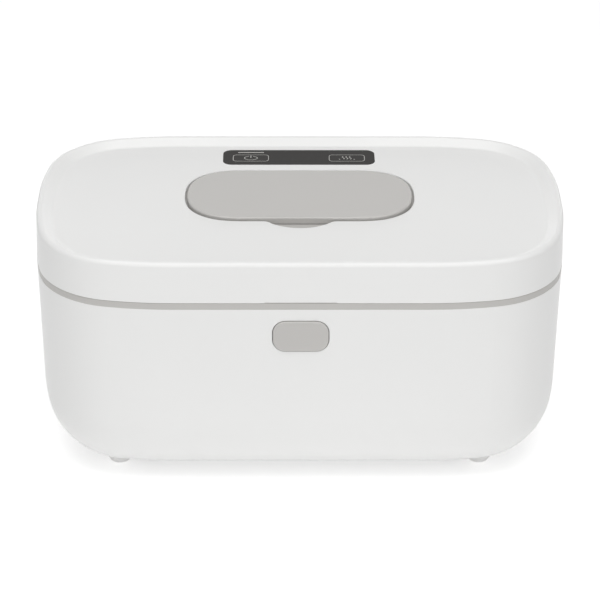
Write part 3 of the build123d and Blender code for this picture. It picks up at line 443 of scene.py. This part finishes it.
def seenDirectly(tree):  # 1 for rays from the camera and for mirror and glass rays, else 0
    path = addNode(tree, "ShaderNodeLightPath").outputs
    either = addNode(tree, "ShaderNodeMath", {0: path["Is Camera Ray"], 1: path["Is Glossy Ray"]},
                     operation="MAXIMUM")
    return addNode(tree, "ShaderNodeMath", {0: either.outputs[0], 1: path["Is Transmission Ray"]},
                   operation="MAXIMUM").outputs[0]


studio = {  # lengths in metres, power in watts; fill is the world's light on the object
    "floorSide": 6, "floorFront": -4, "floorBack": 8, "floorGlow": 0.45, "floorBounce": 0.08,
    "fill": 0.27, "backdrop": 1.0,
    "boxes": {
        "overheadBox": {"place": (0, -0.3, 1.1), "aim": (0, 0, 0.1), "size": (1.2, 0.95), "power": 8.2},
        "frontBox": {"place": (0, -1.9, 0.45), "aim": (0, 0, 0.05), "size": (2.4, 0.9), "power": 9.2},
        "rearBox": {"place": (0, 1.9, 0.3), "aim": (0, 0, 0.05), "size": (2.4, 0.4), "power": 4},
    },
}
paperLook = {"dark": "#F6F6F6", "light": "#FAFAFA", "rough": 0.9, "fibre": 3 * mm}


def paperSweep(name, look, bounce, glow):  # matt white card whose faint fibres barely show
    material, tree = newMaterial(name)
    place = addNode(tree, "ShaderNodeTexCoord").outputs["Object"]
    fibre = addNode(tree, "ShaderNodeTexNoise", {
        "Vector": place, "Scale": 1 / look["fibre"], "Detail": 3.0})
    tone = addNode(tree, "ShaderNodeMix", {
        0: fibre.outputs["Fac"], 6: hexColour(look["dark"]), 7: hexColour(look["light"])},
        data_type="RGBA")
    lit = addNode(tree, "ShaderNodeMapRange", {
        "Value": seenDirectly(tree), "To Min": bounce, "To Max": glow})
    shader = addNode(tree, "ShaderNodeBsdfPrincipled", {
        "Base Color": tone.outputs[2], "Roughness": look["rough"], "Specular IOR Level": 0.0,
        "Emission Color": (1, 1, 1, 1), "Emission Strength": lit.outputs["Result"]})
    addNode(tree, "ShaderNodeOutputMaterial", {"Surface": shader.outputs[0]})
    return material


def floorPlane(look):
    builder = bmesh.new()
    side, front, back = look["floorSide"], look["floorFront"], look["floorBack"]
    corners = [(-side, front, 0), (side, front, 0), (side, back, 0), (-side, back, 0)]
    builder.faces.new([builder.verts.new(c) for c in corners])
    mesh = bpy.data.meshes.new("studioFloor")
    builder.to_mesh(mesh)
    builder.free()
    floor = bpy.data.objects.new("studioFloor", mesh)
    bpy.context.collection.objects.link(floor)
    mesh.materials.append(paperSweep("cardWhiteMatt", paperLook, look["floorBounce"],
                                     look["floorGlow"]))


def softBox(name, look):
    light = bpy.data.lights.new(name, "AREA")
    light.shape = "RECTANGLE"
    light.size, light.size_y = look["size"]
    light.energy = look["power"]
    lamp = bpy.data.objects.new(name, light)
    bpy.context.collection.objects.link(lamp)
    lamp.location = look["place"]
    aim = Vector(look["aim"]) - Vector(look["place"])
    lamp.rotation_euler = aim.to_track_quat("-Z", "Y").to_euler()


def studioWorld(look):
    world = bpy.data.worlds.new("studioWorld")
    bpy.context.scene.world = world
    world.use_nodes = True
    tree = world.node_tree
    tree.nodes.clear()
    level = addNode(tree, "ShaderNodeMapRange", {
        "Value": seenDirectly(tree), "To Min": look["fill"], "To Max": look["backdrop"]})
    background = addNode(tree, "ShaderNodeBackground", {
        "Color": (1, 1, 1, 1), "Strength": level.outputs["Result"]})
    addNode(tree, "ShaderNodeOutputWorld", {"Surface": background.outputs[0]})


cameraView = {  # lens and sensor in millimetres, place in metres, turn in degrees
    "lens": 176.886, "sensor": 36, "shift": (0.0007, 0.0008),
    "place": (-0.0125, -1.17485, 0.66462), "turn": (62.848, -0.25, -0.488),
}


def productCamera(look):
    lens = bpy.data.cameras.new("productCamera")
    lens.lens = look["lens"]
    lens.sensor_width = look["sensor"]
    lens.shift_x, lens.shift_y = look["shift"]
    camera = bpy.data.objects.new("productCamera", lens)
    camera.location = look["place"]
    camera.rotation_euler = [math.radians(angle) for angle in look["turn"]]
    bpy.context.collection.objects.link(camera)
    bpy.context.scene.camera = camera


floorPlane(studio)
for name, look in studio["boxes"].items():
    softBox(name, look)
studioWorld(studio)
productCamera(cameraView)
bpy.context.scene.view_settings.view_transform = "Standard"
print("stage set")
